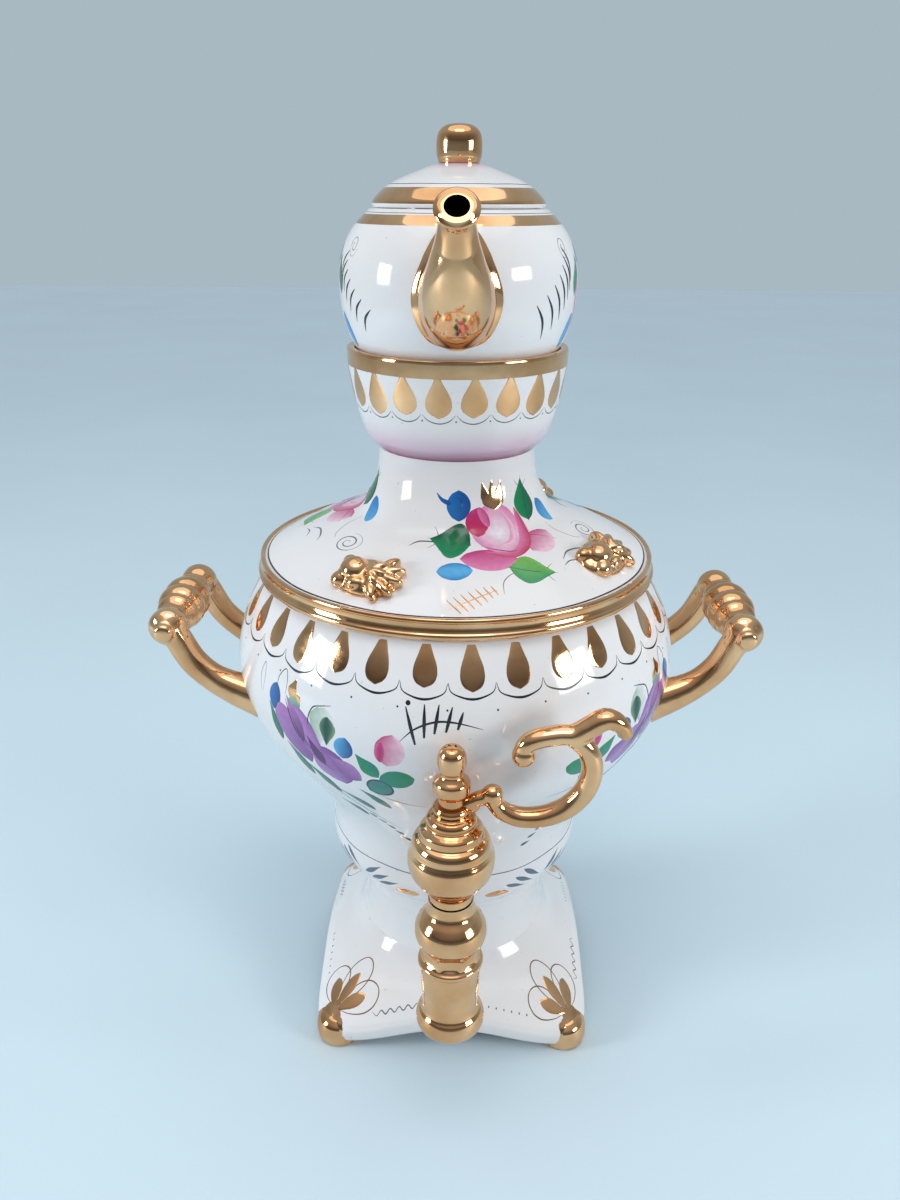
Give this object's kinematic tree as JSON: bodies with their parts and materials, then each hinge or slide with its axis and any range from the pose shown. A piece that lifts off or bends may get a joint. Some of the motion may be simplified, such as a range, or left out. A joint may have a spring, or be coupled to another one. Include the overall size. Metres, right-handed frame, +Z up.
{
  "type": "porcelain samovar with teapot",
  "caption": "Gilded and flower-painted porcelain samovar: a footed urn with a tap and two grips, and a small teapot standing in the gallery of its lid.",
  "frame": {"origin": "on the floor, in the middle of the outline's box; the urn's own axis stands 12 mm behind it, because the tap stands out to the front", "axes": "+Z up, -Y to the front where the tap and the teapot's spout are, +X to the side that the tap's lever points to at rest"},
  "size_m": [0.2686, 0.2194, 0.4],
  "materials": {
    "porcelain": "clear glossy glaze over white porcelain, painted in overglaze colours",
    "gilding": "bright liquid gold fired over the glaze"
  },
  "bodies": {
    "root": {"base": "porcelain", "foot_front_left": "gilding", "foot_front_right": "gilding", "foot_rear_left": "gilding", "foot_rear_right": "gilding", "stem": "porcelain", "vessel": "porcelain", "handle_grip_left": "gilding", "handle_arm_front_left": "gilding", "handle_arm_rear_left": "gilding", "handle_grip_right": "gilding", "handle_arm_front_right": "gilding", "handle_arm_rear_right": "gilding", "tap_barrel": "gilding", "tap_shank": "gilding", "tap_flange": "gilding"},
    "tap_key": {"tap_plug": "porcelain", "tap_key": "gilding", "tap_finial": "gilding", "tap_lever": "gilding"},
    "lid": {"lid": "porcelain", "gallery_cup": "porcelain", "lid_boss_1": "gilding", "lid_boss_2": "gilding", "lid_boss_3": "gilding"},
    "teapot": {"teapot_body": "porcelain", "teapot_spout": "gilding", "teapot_handle": "gilding"},
    "teapot_lid": {"teapot_lid": "porcelain", "teapot_lid_knob": "gilding"}
  },
  "joints": [
    {"name": "lid_lift", "type": "slide", "parent": "root", "child": "lid", "axis": [0, 0, 1], "range_m": [0, 0.09]},
    {"name": "teapot_lift", "type": "slide", "parent": "lid", "child": "teapot", "axis": [0, 0, 1], "range_m": [0, 0.07]},
    {"name": "teapot_lid_lift", "type": "slide", "parent": "teapot", "child": "teapot_lid", "axis": [0, 0, 1], "range_m": [0, 0.04]},
    {"name": "tap_key_turn", "type": "hinge", "parent": "root", "child": "tap_key", "pos_m": [0, -0.09285, 0.124], "axis": [0, 0, 1], "range_deg": [-180, 0]}
  ]
}
